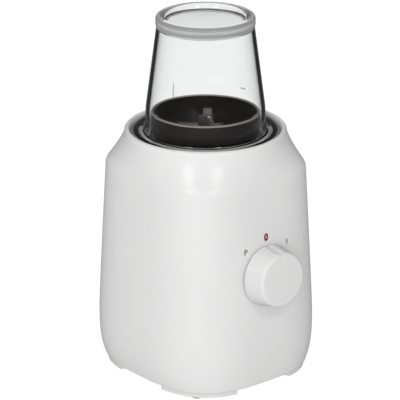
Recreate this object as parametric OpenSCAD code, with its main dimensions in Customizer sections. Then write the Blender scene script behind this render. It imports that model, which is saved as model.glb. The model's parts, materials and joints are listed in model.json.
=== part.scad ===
// Countertop blender base with a dry-grinding mill on it.
// Frame: millimetres, +Z up, the knob looks along -Y, and the motor's axis is
// the Z axis. Z = 0 is the worktop under the rubber feet.

/* [Body] */
// Widest width of the body, across X
body_w = 153; // [148:1:190]
// Widest depth of the body, along Y
body_d = 158; // [152:1:195]
// Height of the neck's rim above the worktop
body_h = 202.5; // [200:0.5:245]
// Height of the widest level of the body
widest_z = 43; // [36:1:52]
// Wall thickness of the body shell
wall = 2.6; // [2.1:0.1:3.2]
// Height of the feet below the body
foot_h = 5; // [4:0.5:7]
// How far the neck's rim stands above the shoulder edge
shoulder_drop = 29; // [24:1:32]
// How much each side draws in from the widest level to the shoulder
shoulder_taper = 7; // [4:0.5:9]
// How much the sides tuck in at the bottom edge
side_tuck = 6; // [3:0.5:9]
// How much the front and the back tuck in at the bottom edge
front_tuck = 3.5; // [2:0.5:7]
// Radius of the neck's opening
neck_r = 60; // [50:0.5:61]
// Width of the neck's rim
rim_w = 5.2; // [4:0.2:6]

/* [Seat] */
// Depth of the seat's floor below the rim
seat_depth = 34.8; // [30:0.2:40]
// Wall thickness of the seat
seat_wall = 2.2; // [1.8:0.1:2.8]
// Floor thickness of the seat
seat_floor = 3; // [2.5:0.1:4]
// Radial gap between the seat and the mill's foot
seat_gap = 0.7; // [0.4:0.1:1.2]

/* [Mill] */
// Height of the clear jar, from its open edge to its top
jar_h = 122.4; // [110:0.2:147]
// Wall thickness of the jar
jar_wall = 2.8; // [2.2:0.1:3.2]
// Width of the jar's step from its wall out to its skirt
jar_step = 6.5; // [5.5:0.1:8]
// Radius of the jar under its top bead
jar_top_r = 38.9; // [32:0.1:41]
// Radial room for the thread between the jar's skirt and the cutter base
thread_gap = 1.9; // [1.6:0.1:2.4]
// Height of the cutter base's bowl rim above its foot
cup_h = 49; // [46:0.5:56]
// Wall thickness of the bowl's rim
cup_wall = 2.7; // [2:0.1:3.2]
// Radius of the cutter's shaft
cutter_shaft_r = 3; // [2.5:0.1:3.6]
// Reach of the lower blade
blade_r = 26; // [20:0.5:28]
// Turn of the cutter about its axis
cutter_turn = 40; // [0:1:90]

/* [Control] */
// Height of the knob's axis
knob_z = 98; // [75:1:110]
// Radius of the knob at its back
knob_r = 25; // [20:0.5:27]
// Radius of the knob at its front
knob_front_r = 21.8; // [17:0.1:24]
// Depth of the knob
knob_d = 18.6; // [15:0.1:23]
// Radius of the switch's shaft
switch_shaft_r = 3; // [2.5:0.1:3.5]

/* [Motor] */
// Radius of the motor's shaft
motor_shaft_r = 4; // [3.3:0.1:4.8]
// Radius of the armature
armature_r = 21; // [17.5:0.1:21.5]
// Length of the laminated cores
core_h = 40; // [33:1:40]
// Radius of the cooling fan
fan_r = 38; // [31:1:45]
// Number of fan blades
fan_blades = 10; // [7:1:12]

/* [Hidden] */
$fn = 96;

run_gap = 0.05;      // radial clearance of a shaft in its bore
part_gap = 0.3;      // clearance between pieces that must not touch
edge = 0.8;          // softening of a moulded edge
around = 72;         // points round the body shell
corner_angles = [45, 135, 225, 315];

// Levels of the body.
shoulder_z = body_h - shoulder_drop;
neck_outer_r = neck_r + rim_w;
scoop_top_z = body_h - 3.5;
scoop_power = 1.3;   // hollow of the scoop between the shoulder and the neck
lower_square = 3.0;  // squareness of the outline up to the widest level
upper_square = 3.2;  // squareness of the outline at the shoulder
mid_square_z = 0.45; // share of the way up at which the outline is nearly at its squarest

// The outline's half width and half depth at a level, and its squareness.
function tuck(z) = z < widest_z ? pow((widest_z - z) / (widest_z - foot_h), 3) : 0;
function taper(z) = z > widest_z ? shoulder_taper * (z - widest_z) / (shoulder_z - widest_z) : 0;
function half_w(z) = body_w / 2 - side_tuck * tuck(z) - taper(z);
function half_d(z) = body_d / 2 - front_tuck * tuck(z) - taper(z);
function rise(z) = max(0, min(1, (z - widest_z) / (shoulder_z - widest_z)));
function squareness(z) = lower_square + (upper_square - lower_square) * pow(rise(z), mid_square_z);
function side_r(a, z) = let (n = squareness(z))
    pow(pow(abs(cos(a)) / half_w(z), n) + pow(abs(sin(a)) / half_d(z), n), -1 / n);
function scoop_r(a, z) = let (u = (z - shoulder_z) / (scoop_top_z - shoulder_z))
    neck_outer_r + (side_r(a, shoulder_z) - neck_outer_r) * pow(1 - u, scoop_power);
function skin_r(a, z) = z <= shoulder_z ? side_r(a, z) : scoop_r(a, z);

// Rings of points round the body, and the closed skin through them.
function ring(z, inset) = [for (i = [0 : around - 1])
    let (a = 360 * i / around, r = skin_r(a, z) - inset) [r * cos(a), r * sin(a), z]];
function round_ring(r, z) = [for (i = [0 : around - 1])
    let (a = 360 * i / around) [r * cos(a), r * sin(a), z]];
function outline(z, inset) = [for (i = [0 : around - 1])
    let (a = 360 * i / around, r = side_r(a, z) - inset) [r * cos(a), r * sin(a)]];

module closed_skin(rings) {
    m = len(rings);
    n = len(rings[0]);
    faces = [for (j = [0 : m - 1], i = [0 : n - 1], half = [0, 1])
        let (k = (j + 1) % m, h = (i + 1) % n)
        half == 0 ? [j * n + i, k * n + i, k * n + h] : [j * n + i, k * n + h, j * n + h]];
    polyhedron(points = [for (r = rings, p = r) p], faces = faces, convexity = 6);
}

// Places a child at a radius in each of the four corner directions.
module at_corners(r) {
    for (a = corner_angles) rotate(a) translate([r, 0, 0]) children();
}

module tube(r_out, r_in, h) {
    difference() {
        cylinder(r = r_out, h = h);
        translate([0, 0, -1]) cylinder(r = r_in, h = h + 2);
    }
}

// A screw that points up: head from z = 0 down, shank from z = 0 up.
module screw(shank_r, shank_h, head_r, head_h) {
    translate([0, 0, -head_h * 0.3]) cylinder(r = shank_r, h = shank_h + head_h * 0.3, $fn = 32);
    difference() {
        translate([0, 0, -head_h]) cylinder(r = head_r, h = head_h, $fn = 32);
        for (a = [0, 90]) rotate(a) translate([-head_r * 0.6, -0.4, -head_h - 1])
            cube([head_r * 1.2, 0.8, 1 + head_h * 0.55]);
    }
}

// A coil spring of round wire, as one closed tube along its helix.
module coil_spring(r, wire_r, h, turns) {
    steps = 14 * turns;
    sides = 6;
    points = [for (i = [0 : steps], j = [0 : sides - 1])
        let (a = 360 * turns * i / steps, b = 360 * j / sides, q = r + wire_r * cos(b))
        [q * cos(a), q * sin(a), wire_r + (h - 2 * wire_r) * i / steps + wire_r * sin(b)]];
    walls = [for (i = [0 : steps - 1], j = [0 : sides - 1], half = [0, 1])
        let (k = (j + 1) % sides, p = i * sides, q = p + sides)
        half == 0 ? [p + j, q + j, q + k] : [p + j, q + k, p + k]];
    ends = [
        [for (j = [0 : sides - 1]) j],
        [for (j = [sides - 1 : -1 : 0]) steps * sides + j]
    ];
    polyhedron(points = points, faces = concat(walls, ends));
}

// ---- Body ----

post_r = 4;                                        // posts that the base screws go up into
post_at = side_r(45, foot_h) - 20;
post_z = foot_h + 3.4;
post_top = 40;
ear_r = 4.5;                                       // ears that hold the seat to the body
ear_t = 3;
ear_z = shoulder_z + 3;
boss_top = ear_z + ear_t + 8;
boss_r = 3.6;
ear_at = skin_r(45, boss_top) - wall / 2 - boss_r;
seat_top_z = body_h - 2.2;
floor_z = body_h - seat_depth;
bush_hole_r = 5.3;                                 // hole for the switch's threaded neck
cord_z = 25;
cord_r = 3.6;                                      // bore that the mains cord passes through
inlet_r = 8;
inlet_lip = 2.4;                                   // how far the inlet's lips reach past its body
lip_t = 1.6;
lip_out_y = half_d(cord_z + inlet_r + inlet_lip) + 0.2;
lip_in_y = half_d(cord_z - inlet_r - inlet_lip) - wall - 0.4;

module housing() {
    lower = [for (z = [foot_h + edge, 8, 12, 17, 23, 30, 36, widest_z]) z];
    upper = [for (i = [1 : 7]) widest_z + (shoulder_z - 1.5 - widest_z) * i / 7];
    scoop = [for (i = [1 : 8]) shoulder_z + (scoop_top_z - shoulder_z) * (i - 0.5) / 8];
    hollow = [for (i = [7 : -1 : 1]) shoulder_z + (scoop_top_z - 7 - shoulder_z) * i / 7];
    low_in = [for (z = [shoulder_z - 4, 150, 120, 90, 65, widest_z, 30, 20, 13, 8]) z];
    rim = [for (a = [0 : 30 : 180]) [neck_r + rim_w / 2 + rim_w / 2 * cos(a),
        scoop_top_z + (body_h - scoop_top_z) * sin(a)]];
    rings = concat(
        [ring(foot_h, edge)],
        [for (z = lower) ring(z, 0)],
        [for (z = upper) ring(z, 0)],
        [ring(shoulder_z, 0.5)],
        [for (z = scoop) ring(z, 0)],
        [for (p = rim) round_ring(p[0], p[1])],
        [round_ring(neck_r, scoop_top_z - 5)],
        [for (z = hollow) ring(z, wall)],
        [for (z = low_in) ring(z, wall)],
        [ring(foot_h, wall)]
    );
    color("white") difference() {
        union() {
            closed_skin(rings);
            // Posts for the base screws, each tied to its corner by a rib.
            for (a = corner_angles) {
                reach = skin_r(a, 33) - wall / 2;
                rotate(a) translate([post_at, 0, post_z]) cylinder(r = post_r, h = post_top - post_z);
                rotate(a) translate([post_at, -1, 26]) cube([reach - post_at, 2, post_top - 27]);
            }
            // Bosses that the seat's ears are screwed up to.
            at_corners(ear_at) translate([0, 0, ear_z + ear_t])
                cylinder(r = boss_r, h = boss_top - ear_z - ear_t);
        }
        at_corners(post_at) cylinder(r = 1.9, h = 26, $fn = 32);
        at_corners(ear_at) translate([0, 0, ear_z]) cylinder(r = 1.5, h = 9, $fn = 32);
        on_face(-20) cylinder(r = bush_hole_r, h = 40);
        translate([0, 0, cord_z]) rotate([-90, 0, 0]) cylinder(r = inlet_r + 0.1, h = body_d);
    }
}

// The seat is a cup that hangs in the neck and takes the foot of a jug or a mill.
seat_r = neck_r - 0.2;
seat_in_r = seat_r - seat_wall;
dam_r = 21;
seal_r = 9;
key_w = 6;                                         // locating keys inside the seat's wall
key_t = 2.2;
key_h = 20;
stator_w = 2 * armature_r + 42;
stator_d = 2 * armature_r + 32;
bolt_x = stator_w / 2 - 10.5;                      // places of the long screws through the stator
bolt_y = stator_d / 2 - 9.5;
motor_boss_at = norm([bolt_x, bolt_y]) - 11.8;     // bosses that the motor hangs from
boss_h = 12.4;
pin_r = 2.5;                                       // interlock pin
pin_at = seat_in_r - 5;
guide_h = 9;

module jar_seat() {
    color("dimgray") difference() {
        union() {
            rotate_extrude() polygon([
                [seal_r, floor_z - seat_floor], [seat_r, floor_z - seat_floor], [seat_r, seat_top_z - edge],
                [seat_r - edge, seat_top_z], [seat_in_r + 0.6, seat_top_z], [seat_in_r, seat_top_z - 0.6],
                [seat_in_r, floor_z + 0.8], [seat_in_r - 0.8, floor_z], [dam_r, floor_z],
                [dam_r - 0.3, floor_z + 4.5], [dam_r - 2, floor_z + 4.5], [dam_r - 2.3, floor_z],
                [seal_r, floor_z]
            ]);
            for (a = corner_angles) {
                rotate(a) translate([seat_in_r - key_t, -key_w / 2, floor_z - 1])
                    cube([key_t + 1, key_w, key_h + 1]);
                rotate(a) translate([seat_r - 1, -ear_r, ear_z]) cube([ear_at - seat_r + 1, 2 * ear_r, ear_t]);
                rotate(a) translate([ear_at, 0, ear_z]) cylinder(r = ear_r, h = ear_t);
            }
            at_corners(motor_boss_at) translate([0, 0, floor_z - seat_floor - boss_h])
                cylinder(r = 5, h = boss_h + 1);
            translate([0, pin_at, floor_z - seat_floor - guide_h]) cylinder(r = 5, h = guide_h + 1);
            for (x = [-8.5, 8.5]) translate([x, pin_at, floor_z - seat_floor - 20.5])
                cylinder(r = 2.4, h = 21.5);
        }
        at_corners(ear_at) translate([0, 0, ear_z - 1]) cylinder(r = 1.7, h = ear_t + 2, $fn = 32);
        at_corners(motor_boss_at) translate([0, 0, floor_z - seat_floor - boss_h - 1])
            cylinder(r = 2, h = boss_h + 1, $fn = 32);
        translate([0, pin_at, floor_z - 30]) cylinder(r = pin_r + run_gap, h = 40);
    }
}

module seat_screws() {
    color("silver") at_corners(ear_at) translate([0, 0, ear_z]) screw(1.5, 8.5, 3, 1.8);
}

// The base plate closes the body from below and carries the four corner feet.
plate_z = foot_h - 0.3;
plate_t = 3.4;
shoe_w = 13;                                       // radial width of a corner foot
shoe_half_angle = 24;
shoe_z = 1.2;
pad_r = 5.2;
pad_at = side_r(45, foot_h) - 1.2 - shoe_w / 2;

module corner_wedge(half_angle) {
    reach = body_w + body_d;
    x = reach * cos(half_angle);
    y = reach * sin(half_angle);
    for (a = corner_angles) rotate(a) polygon([[0, 0], [x, -y], [x, y]]);
}

module base_plate() {
    color("whitesmoke") difference() {
        union() {
            translate([0, 0, plate_z]) linear_extrude(plate_t) polygon(outline(foot_h, wall + part_gap));
            translate([0, 0, shoe_z]) linear_extrude(plate_z - shoe_z + 0.01) intersection() {
                difference() {
                    polygon(outline(foot_h, 1.2));
                    polygon(outline(foot_h, 1.2 + shoe_w));
                }
                corner_wedge(shoe_half_angle);
            }
        }
        at_corners(pad_at) translate([0, 0, shoe_z - 1]) cylinder(r = pad_r + 0.2, h = 2);
        at_corners(post_at) translate([0, 0, plate_z - 1]) {
            cylinder(r = 2, h = plate_t + 2, $fn = 32);
            cylinder(r = 4, h = 3, $fn = 32);
        }
        for (i = [-5 : 5]) {
            slot = 2 * sqrt(36 * 36 - 36 * i * i) * 0.8;
            translate([-slot / 2, 6 * i - 1.5, plate_z - 1]) cube([slot, 3, plate_t + 2]);
        }
    }
}

module rubber_feet() {
    color("dimgray") at_corners(pad_at) cylinder(r = pad_r, h = shoe_z + 1);
}

module base_screws() {
    color("silver") at_corners(post_at) translate([0, 0, plate_z + 2]) screw(1.8, 16, 3.6, 1.9);
}

module cord_inlet() {
    color("dimgray") translate([0, 0, cord_z]) rotate([-90, 0, 0]) difference() {
        union() {
            translate([0, 0, lip_in_y - lip_t]) cylinder(r = inlet_r, h = lip_out_y - lip_in_y + 2 * lip_t);
            translate([0, 0, lip_out_y]) cylinder(r = inlet_r + inlet_lip, h = lip_t);
            translate([0, 0, lip_in_y - lip_t]) cylinder(r = inlet_r + inlet_lip, h = lip_t);
        }
        translate([0, 0, lip_in_y - 5]) cylinder(r = cord_r, h = wall + 16);
    }
}

// ---- Knob and switch ----

face_lean = atan(shoulder_taper / (shoulder_z - widest_z));   // the front face leans back this much
knob_gap = 1;                                      // between the face and the knob's back
case_gap = 2.2;                                    // between the wall and the switch's case
switch_w = 27;
switch_h = 26;
switch_d = 22;
nut_t = 2.6;
boss_inset = 4;                                    // the knob's inner boss starts this far in
shaft_depth = 8;                                   // how far the shaft reaches into the switch

// Places a child on the knob's axis, at a distance out from the face along it.
module on_face(out) {
    translate([0, -half_d(knob_z), knob_z]) rotate([90 - face_lean, 0, 0]) translate([0, 0, out]) children();
}

module knob() {
    t = 2.2;
    bore = switch_shaft_r + run_gap;
    color("white") on_face(knob_gap) difference() {
        rotate_extrude() polygon([
            [bore, boss_inset], [7, boss_inset], [7.4, knob_d - t], [knob_front_r - t, knob_d - t],
            [knob_r - t, 0], [knob_r - 0.4, 0], [knob_r, 0.6], [knob_front_r + 0.5, knob_d - 3],
            [knob_front_r - 0.1, knob_d - 1.3], [knob_front_r - 1.2, knob_d - 0.3],
            [knob_front_r - 2.6, knob_d], [0, knob_d], [0, knob_d - t - 2], [bore, knob_d - t - 2]
        ]);
        // Pointer notch at the top of the rim, and the mark that runs in from it.
        translate([0, knob_r + 6, 3]) rotate([20, 0, 0]) translate([0, 0, -4]) cylinder(r = 6, h = knob_d + 8);
        translate([-0.6, knob_front_r - 11, knob_d - 0.4]) cube([1.2, 12, 2]);
    }
}

module switch_shaft() {
    color("silver") on_face(-wall - case_gap - shaft_depth)
        cylinder(r = switch_shaft_r, h = wall + case_gap + shaft_depth + knob_gap + knob_d - 4.6);
}

module switch_body() {
    color("dimgray") on_face(-wall - case_gap) difference() {
        union() {
            translate([-switch_w / 2, -switch_h / 2, -switch_d]) cube([switch_w, switch_h, switch_d]);
            cylinder(r = bush_hole_r - 0.3, h = wall + case_gap + knob_gap + nut_t);
        }
        translate([0, 0, -shaft_depth - 0.4]) cylinder(r = switch_shaft_r + run_gap, h = 40);
        for (x = [-8, 8]) translate([x - 2.5, -4, -switch_d - 1]) cube([5, 8, 5]);
    }
}

module switch_nut() {
    color("silver") on_face(0.4) difference() {
        cylinder(r = 8.2, h = nut_t, $fn = 6);
        translate([0, 0, -1]) cylinder(r = bush_hole_r, h = 5);
    }
}

// ---- Interlock: the mill's foot presses a pin down onto a small switch ----

pin_travel = 3;
guide_z = floor_z - seat_floor - guide_h;
sensor_top = floor_z - seat_floor - 20.8;
collar_z = guide_z - part_gap - 2;

module interlock_pin() {
    pin_z = sensor_top + pin_travel + 1;
    color("whitesmoke") translate([0, pin_at, 0]) {
        translate([0, 0, pin_z]) cylinder(r = pin_r, h = floor_z - pin_z);
        translate([0, 0, collar_z]) cylinder(r = 4.2, h = 2);
    }
}

module interlock_spring() {
    color("silver") translate([0, pin_at, sensor_top + 0.1])
        coil_spring(3.4, 0.3, collar_z - sensor_top - 0.2, 5);
}

module interlock_switch() {
    color("black") translate([0, pin_at, sensor_top - 12]) difference() {
        translate([-12, -4.5, 0]) cube([24, 9, 12]);
        for (x = [-8.5, 8.5]) translate([x, 0, 2]) cylinder(r = 1.2, h = 11, $fn = 24);
    }
}

// ---- Motor, built downwards from the seat's floor ----

damper_h = 8;
frame_top = floor_z - seat_floor - boss_h - damper_h;   // top of the upper bracket's plate
frame_t = 4;
post_gap = 15;                                          // room for the coil ends above the core
core_top = frame_top - frame_t - post_gap;
core_z = core_top - core_h;
lower_post = 33;
lower_plate_z = core_z - lower_post - frame_t;
fan_top = lower_plate_z - 18;
shaft_top = floor_z + 8.2;
air_gap = 0.6;
bore_r = armature_r + air_gap;
yoke_r = armature_r + 12;
shoe_r = armature_r + 4.6;                              // outer radius of the pole shoes
bearing_r = 11;
comm_r = 12;
comm_z = lower_plate_z + frame_t + 2;
comm_h = 15;
brush_z = comm_z + 8;

module at_bolts() {
    for (x = [-bolt_x, bolt_x], y = [-bolt_y, bolt_y]) translate([x, y, 0]) children();
}

module drive_coupling() {
    base_z = floor_z + 4.6;
    color("black") translate([0, 0, base_z]) difference() {
        cylinder(r = 15, h = 13.4);
        translate([0, 0, 4.2]) linear_extrude(20) difference() {
            circle(r = 12.8);
            for (k = [0 : 5]) rotate(60 * k) translate([9.6, -1.5]) square([4, 3]);
        }
        translate([0, 0, -1]) cylinder(r = motor_shaft_r, h = shaft_top - base_z + 1);
    }
}

module shaft_seal() {
    color("dimgray") translate([0, 0, floor_z - seat_floor]) tube(seal_r - 0.05, motor_shaft_r + run_gap, 4);
}

module motor_shaft() {
    color("silver") translate([0, 0, fan_top - 14]) cylinder(r = motor_shaft_r, h = shaft_top - fan_top + 14);
}

module armature_core() {
    color("slategray") translate([0, 0, core_z]) linear_extrude(core_h) difference() {
        circle(r = armature_r);
        circle(r = motor_shaft_r);
        for (k = [0 : 11]) rotate(30 * k) {
            translate([armature_r * 0.52, -1.8]) square([armature_r * 0.36, 3.6]);
            translate([armature_r * 0.8, -0.7]) square([armature_r * 0.3, 1.4]);
        }
    }
}

module winding_end(h) {
    rotate_extrude() polygon([
        [motor_shaft_r + 2, 0], [armature_r - 3, 0], [armature_r - 2.2, h * 0.35],
        [armature_r - 4, h * 0.75], [armature_r - 8, h], [motor_shaft_r + 2, h * 0.85]
    ]);
}

module armature_winding() {
    color("chocolate") {
        translate([0, 0, core_top]) winding_end(12);
        translate([0, 0, core_z]) mirror([0, 0, 1]) winding_end(13);
        for (k = [0 : 11]) rotate(30 * k) translate([armature_r * 0.54, -1.6, core_z - 0.5])
            cube([armature_r * 0.31, 3.2, core_h + 1]);
    }
}

module commutator() {
    color("peru") translate([0, 0, comm_z]) difference() {
        cylinder(r = comm_r, h = comm_h);
        translate([0, 0, -1]) cylinder(r = motor_shaft_r, h = comm_h + 2);
        for (k = [0 : 23]) rotate(15 * k + 7.5) translate([comm_r - 0.8, -0.2, -1]) cube([2, 0.4, comm_h + 2]);
    }
}

module cooling_fan() {
    blade_h = 11;
    color("gainsboro") translate([0, 0, fan_top - 2]) difference() {
        union() {
            cylinder(r = fan_r, h = 2);
            translate([0, 0, -blade_h]) cylinder(r = 9, h = blade_h + 1);
            for (k = [0 : fan_blades - 1]) rotate(360 * k / fan_blades) translate([8, -3, -blade_h])
                rotate(-14) cube([fan_r - 10, 1.4, blade_h + 1]);
        }
        translate([0, 0, -20]) cylinder(r = motor_shaft_r, h = 30);
    }
}

module pole_piece() {
    difference() {
        union() {
            difference() {
                square([stator_w, stator_d], center = true);
                circle(r = yoke_r);
            }
            square([2 * yoke_r + 2, 20], center = true);
            intersection() {
                circle(r = shoe_r);
                for (m = [0, 180]) rotate(m) polygon([[0, 0], [40, -60], [40, 60]]);
            }
        }
        circle(r = bore_r);
        for (x = [-bolt_x, bolt_x], y = [-bolt_y, bolt_y]) translate([x, y]) circle(r = 2.2);
    }
}

module stator_core() {
    color("gray") translate([0, 0, core_z]) linear_extrude(core_h) pole_piece();
}

module field_coils() {
    depth = yoke_r - shoe_r - 1;
    color("sienna") for (m = [0, 180]) rotate(m) intersection() {
        translate([shoe_r + 0.4, -16.5, core_z - 8]) difference() {
            cube([depth, 33, core_h + 16]);
            translate([-1, 6.2, 7.7]) cube([depth + 2, 20.6, core_h + 0.6]);
        }
        cylinder(r = yoke_r - 0.3, h = 400);
    }
}

module stator_screws() {
    color("silver") at_bolts() translate([0, 0, core_z - 5]) screw(2, core_h + 12, 3.6, 2.4);
}

// A bracket is a plate on four posts with a bearing cup in its middle.
module bracket(post_h, cup_r, cup_h) {
    difference() {
        union() {
            translate([0, 0, post_h]) linear_extrude(frame_t) difference() {
                square([stator_w - 10, stator_d - 8], center = true);
                for (m = [0, 180]) rotate(m) translate([0, stator_d / 2]) circle(r = 17);
            }
            at_bolts() cylinder(r = 5, h = post_h + 1);
            translate([0, 0, post_h]) cylinder(r = cup_r + 2.4, h = cup_h);
        }
        translate([0, 0, post_h + cup_h - 8]) cylinder(r = cup_r, h = 20);
        translate([0, 0, post_h - 1]) cylinder(r = motor_shaft_r + 2, h = 30);
        at_bolts() translate([0, 0, -1]) cylinder(r = 2.2, h = 9, $fn = 32);
    }
}

module upper_bracket() {
    color("silver") difference() {
        translate([0, 0, core_top]) bracket(post_gap, bearing_r, 11);
        at_corners(motor_boss_at) translate([0, 0, frame_top - 10]) cylinder(r = 2.2, h = 20, $fn = 32);
    }
}

module lower_bracket() {
    color("silver") translate([0, 0, core_z]) mirror([0, 0, 1]) difference() {
        bracket(lower_post, bearing_r, 12);
        at_bolts() translate([0, 0, 5]) cylinder(r = 4.2, h = 4, $fn = 32);
    }
}

module upper_bearing() {
    color("lightsteelblue") translate([0, 0, core_top + post_gap + 3])
        tube(bearing_r, motor_shaft_r + run_gap, 7.5);
}

module lower_bearing() {
    color("lightsteelblue") translate([0, 0, core_z - lower_post - 11.8])
        tube(bearing_r, motor_shaft_r + run_gap, 7.5);
}

module both_brushes() {
    for (m = [0, 180]) rotate(m) translate([0, 0, brush_z]) children();
}

module brush_holders() {
    color("goldenrod") both_brushes() difference() {
        translate([comm_r + 3, -5, -6]) cube([24, 10, 12]);
        translate([comm_r, -3.1, -4.1]) cube([26, 6.2, 8.2]);
    }
}

module carbon_brushes() {
    color("black") both_brushes() difference() {
        translate([comm_r - 0.6, -3, -4]) cube([16, 6, 8]);
        translate([0, 0, -5]) cylinder(r = comm_r + 0.1, h = 10);
    }
}

module brush_springs() {
    color("silver") both_brushes() translate([comm_r + 15.5, 0, 0]) rotate([0, 90, 0])
        coil_spring(2.4, 0.3, 10.4, 6);
}

module motor_dampers() {
    color("black") at_corners(motor_boss_at) translate([0, 0, frame_top]) tube(5.5, 2.2, damper_h);
}

module motor_screws() {
    color("silver") at_corners(motor_boss_at) translate([0, 0, frame_top - frame_t])
        screw(2, frame_t + damper_h + boss_h - 2, 3.6, 2.2);
}

module thermal_cutout() {
    color("ivory") translate([shoe_r + 0.6, -4, core_top + 8.2]) cube([5.5, 8, 3.5]);
}

module suppressor_capacitor() {
    color("khaki") translate([-half_w(foot_h) + 8, -13, plate_z + plate_t + 0.2]) cube([10, 26, 17]);
}

module terminal_block() {
    y = half_d(foot_h) - 17;
    color("ivory") translate([-14, y - 10, plate_z + plate_t]) difference() {
        cube([28, 10, 9]);
        for (x = [5, 14, 23]) translate([x, 5, 3]) cylinder(r = 2, h = 8, $fn = 24);
    }
}

// ---- Mill ----

mill_z = floor_z + part_gap;
foot_r = seat_in_r - seat_gap;
foot_t = 4;
skirt_r = foot_r - 2.2;                            // outside of the jar's skirt
skirt_in_r = skirt_r - 2.4;
base_r = skirt_in_r - thread_gap;                  // outside of the cutter base's skirt
base_in_r = base_r - 2.2;
jar_z = mill_z + foot_t + 0.6;
jar_r = skirt_r - jar_step;
jar_in_r = jar_r - jar_wall;
cup_r = jar_in_r - 1.9;
cup_in_r = cup_r - cup_wall;
deck_z = mill_z + 28;                              // top of the cutter base's flange
bowl_z = mill_z + 29;                              // floor of the bowl
cup_top = mill_z + cup_h;
hub_r = 11;
bush_r = 7.2;
hub_z = mill_z + 19.5;
gasket_t = 2;
lug_h = 3;
lug_z = mill_z + 13;
jar_top = jar_z + jar_h;
jar_deck_z = deck_z + gasket_t + 0.2;              // underside of the jar's step

module cutter_base() {
    color([0.09, 0.08, 0.08]) difference() {
        union() {
            rotate_extrude() polygon([
                [bush_r, hub_z], [hub_r, hub_z], [hub_r, deck_z - 3], [base_in_r, deck_z - 3],
                [base_in_r, mill_z], [foot_r - edge, mill_z], [foot_r, mill_z + edge],
                [foot_r, mill_z + foot_t], [base_r, mill_z + foot_t], [base_r, deck_z],
                [cup_r, deck_z], [cup_r, cup_top - 0.9], [cup_r - 0.9, cup_top],
                [cup_in_r + 0.6, cup_top], [cup_in_r, cup_top - 0.9],
                [cup_in_r - 1, bowl_z + 7], [cup_in_r - 2.4, bowl_z + 3], [cup_in_r - 5.4, bowl_z + 0.6],
                [cup_in_r - 8.5, bowl_z], [hub_r + 1, bowl_z], [hub_r - 0.5, bowl_z + 2], [bush_r, bowl_z + 2]
            ]);
            // Interrupted thread, outside.
            for (k = [0 : 3]) rotate(90 * k - 16) translate([0, 0, lug_z]) rotate_extrude(angle = 32)
                polygon([[base_r - 0.5, 0], [base_r + thread_gap - 0.5, 0.8],
                    [base_r + thread_gap - 0.5, lug_h - 0.8], [base_r - 0.5, lug_h]]);
        }
        // Notches that pass the seat's keys.
        for (a = corner_angles) rotate(a) translate([seat_in_r - key_t - 0.4, -key_w / 2 - 0.5, mill_z - 1])
            cube([10, key_w + 1, foot_t + 2]);
    }
}

module cutter_bush() {
    color("goldenrod") translate([0, 0, hub_z + 0.5]) tube(bush_r - 0.02, cutter_shaft_r + run_gap, 10);
}

module cutter_seal() {
    color("firebrick") translate([0, 0, hub_z + 10.6]) tube(bush_r - 0.02, cutter_shaft_r + run_gap, 1.6);
}

module jar_gasket() {
    color("gainsboro") translate([0, 0, deck_z]) tube(base_r - 0.2, cup_r + 1.6, gasket_t);
}

module grinding_jar() {
    top_in_r = jar_top_r - jar_wall;
    bead_r = jar_top_r + 0.7;
    ring_in_r = jar_top_r - 6.4;
    wall_z = jar_deck_z + 8;
    color([0.8, 0.85, 0.87, 0.4]) {
        rotate_extrude() polygon([
            // outside, from the open edge up
            [skirt_r, jar_z], [skirt_r, jar_deck_z - 0.8], [skirt_r - 0.5, jar_deck_z + 0.5],
            [skirt_r - 1.5, jar_deck_z + 1.2], [jar_r + 2.5, jar_deck_z + 1.9], [jar_r + 1, jar_deck_z + 3.1],
            [jar_r + 0.2, jar_deck_z + 5.2], [jar_r, wall_z],
            [jar_r - 0.6, wall_z + 14], [jar_top_r, jar_top - 9.3], [bead_r - 0.2, jar_top - 8.6],
            [bead_r, jar_top - 7.4], [bead_r, jar_top - 2.6], [bead_r - 0.6, jar_top - 0.9],
            [bead_r - 2, jar_top], [ring_in_r + 1.6, jar_top], [ring_in_r + 0.4, jar_top - 1],
            [ring_in_r, jar_top - 2.6], [ring_in_r - 1, jar_top - 3.8], [0, jar_top - 4.2],
            // inside, from the closed end down
            [0, jar_top - 7.4], [top_in_r - 2.8, jar_top - 7.6], [top_in_r - 0.8, jar_top - 8.7],
            [top_in_r, jar_top - 10.6], [jar_in_r - 0.6, wall_z + 14], [jar_in_r, wall_z],
            [jar_in_r + 0.3, jar_deck_z + 1], [jar_in_r + 1, jar_deck_z], [skirt_in_r, jar_deck_z],
            [skirt_in_r, jar_z]
        ]);
        // Interrupted thread, inside, turned clear of the cutter base's.
        for (k = [0 : 3]) rotate(90 * k + 29) translate([0, 0, lug_z]) rotate_extrude(angle = 32)
            polygon([[skirt_in_r + 0.5, -lug_h], [skirt_in_r - thread_gap + 0.5, -lug_h + 0.8],
                [skirt_in_r - thread_gap + 0.5, -0.8], [skirt_in_r + 0.5, 0]]);
    }
}

// ---- Cutter: everything that turns inside the mill ----

blade_z = bowl_z + 4.4;
blade_t = 1.4;
blade_drop = 2; // how far the upright tips stay below the bowl's rim
nut_z = blade_z + 2 * blade_t + 0.8;
coupling_z = shaft_top + 1;
shaft_end = coupling_z + 0.5;

module cutter_shaft() {
    color("silver") {
        translate([0, 0, shaft_end]) cylinder(r = cutter_shaft_r, h = nut_z + 4 - shaft_end);
        translate([0, 0, blade_z - 1.4]) cylinder(r = cutter_shaft_r + 2, h = 1.4);
    }
}

module lower_blade() {
    color("silver") rotate(cutter_turn + 90) translate([0, 0, blade_z]) linear_extrude(blade_t) difference() {
        union() {
            circle(r = 7);
            for (m = [0, 180]) rotate(m) polygon([[0, -6], [blade_r - 9, -5], [blade_r, -1],
                [blade_r - 1, 2.5], [blade_r - 12, 5], [0, 6]]);
        }
        circle(r = cutter_shaft_r);
    }
}

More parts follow.
